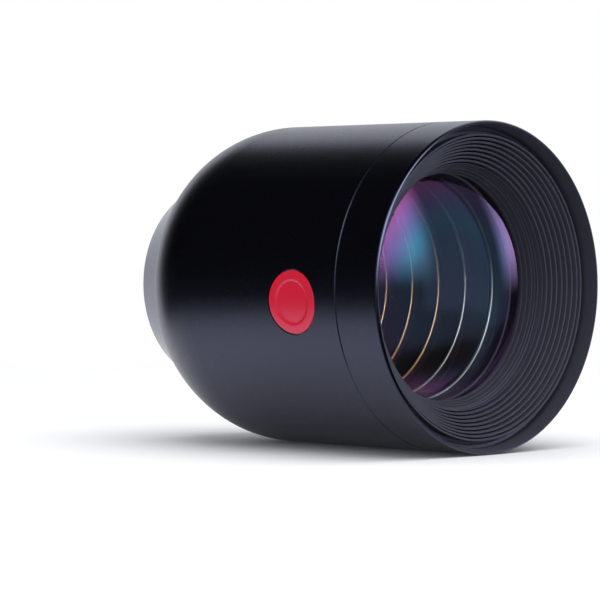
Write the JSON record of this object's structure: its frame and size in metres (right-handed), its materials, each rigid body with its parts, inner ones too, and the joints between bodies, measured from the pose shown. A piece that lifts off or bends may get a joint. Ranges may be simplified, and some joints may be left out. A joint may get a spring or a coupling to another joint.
{
  "type": "telephoto conversion lens",
  "caption": "Clip-on telephoto lens for a phone camera: satin barrel with a domed rear, stepped front baffle, coated front glass, red inset badge and bayonet rear mount.",
  "frame": {"origin": "middle of the rear face of the bayonet boss, on the optical axis", "axes": "+Z along the optical axis and out of the front glass; the inset badge is on the -Y side"},
  "size_m": [0.041, 0.041, 0.052],
  "materials": {
    "anodised_black": "satin black anodised",
    "anodised_matt": "matt black anodised",
    "anodised_red": "red anodised, soft sheen",
    "coated_glass": "polished, coated",
    "clear_glass": "polished",
    "black_rubber": "matt",
    "screw_steel": "blackened steel",
    "shim_brass": "rolled",
    "adhesive": "clear tape"
  },
  "bodies": {
    "root": {"aperture_stop": "anodised_matt", "badge": "anodised_red", "badge_pad": "adhesive", "baffle_ring": "anodised_matt", "barrel": "anodised_black", "cell_seal": "black_rubber", "front_crown": "coated_glass", "front_flint": "clear_glass", "front_gasket": "black_rubber", "front_retainer": "anodised_matt", "front_ring": "anodised_black", "front_seal": "black_rubber", "grip_ring": "black_rubber", "light_trap": "anodised_matt", "mount_screws": "screw_steel", "rear_cell": "anodised_matt", "rear_concave": "clear_glass", "rear_crown": "clear_glass", "rear_meniscus": "coated_glass", "rear_mount": "anodised_black", "rear_retainer": "anodised_matt", "rear_spacer": "anodised_matt", "trap_shim": "shim_brass"}
  },
  "joints": []
}
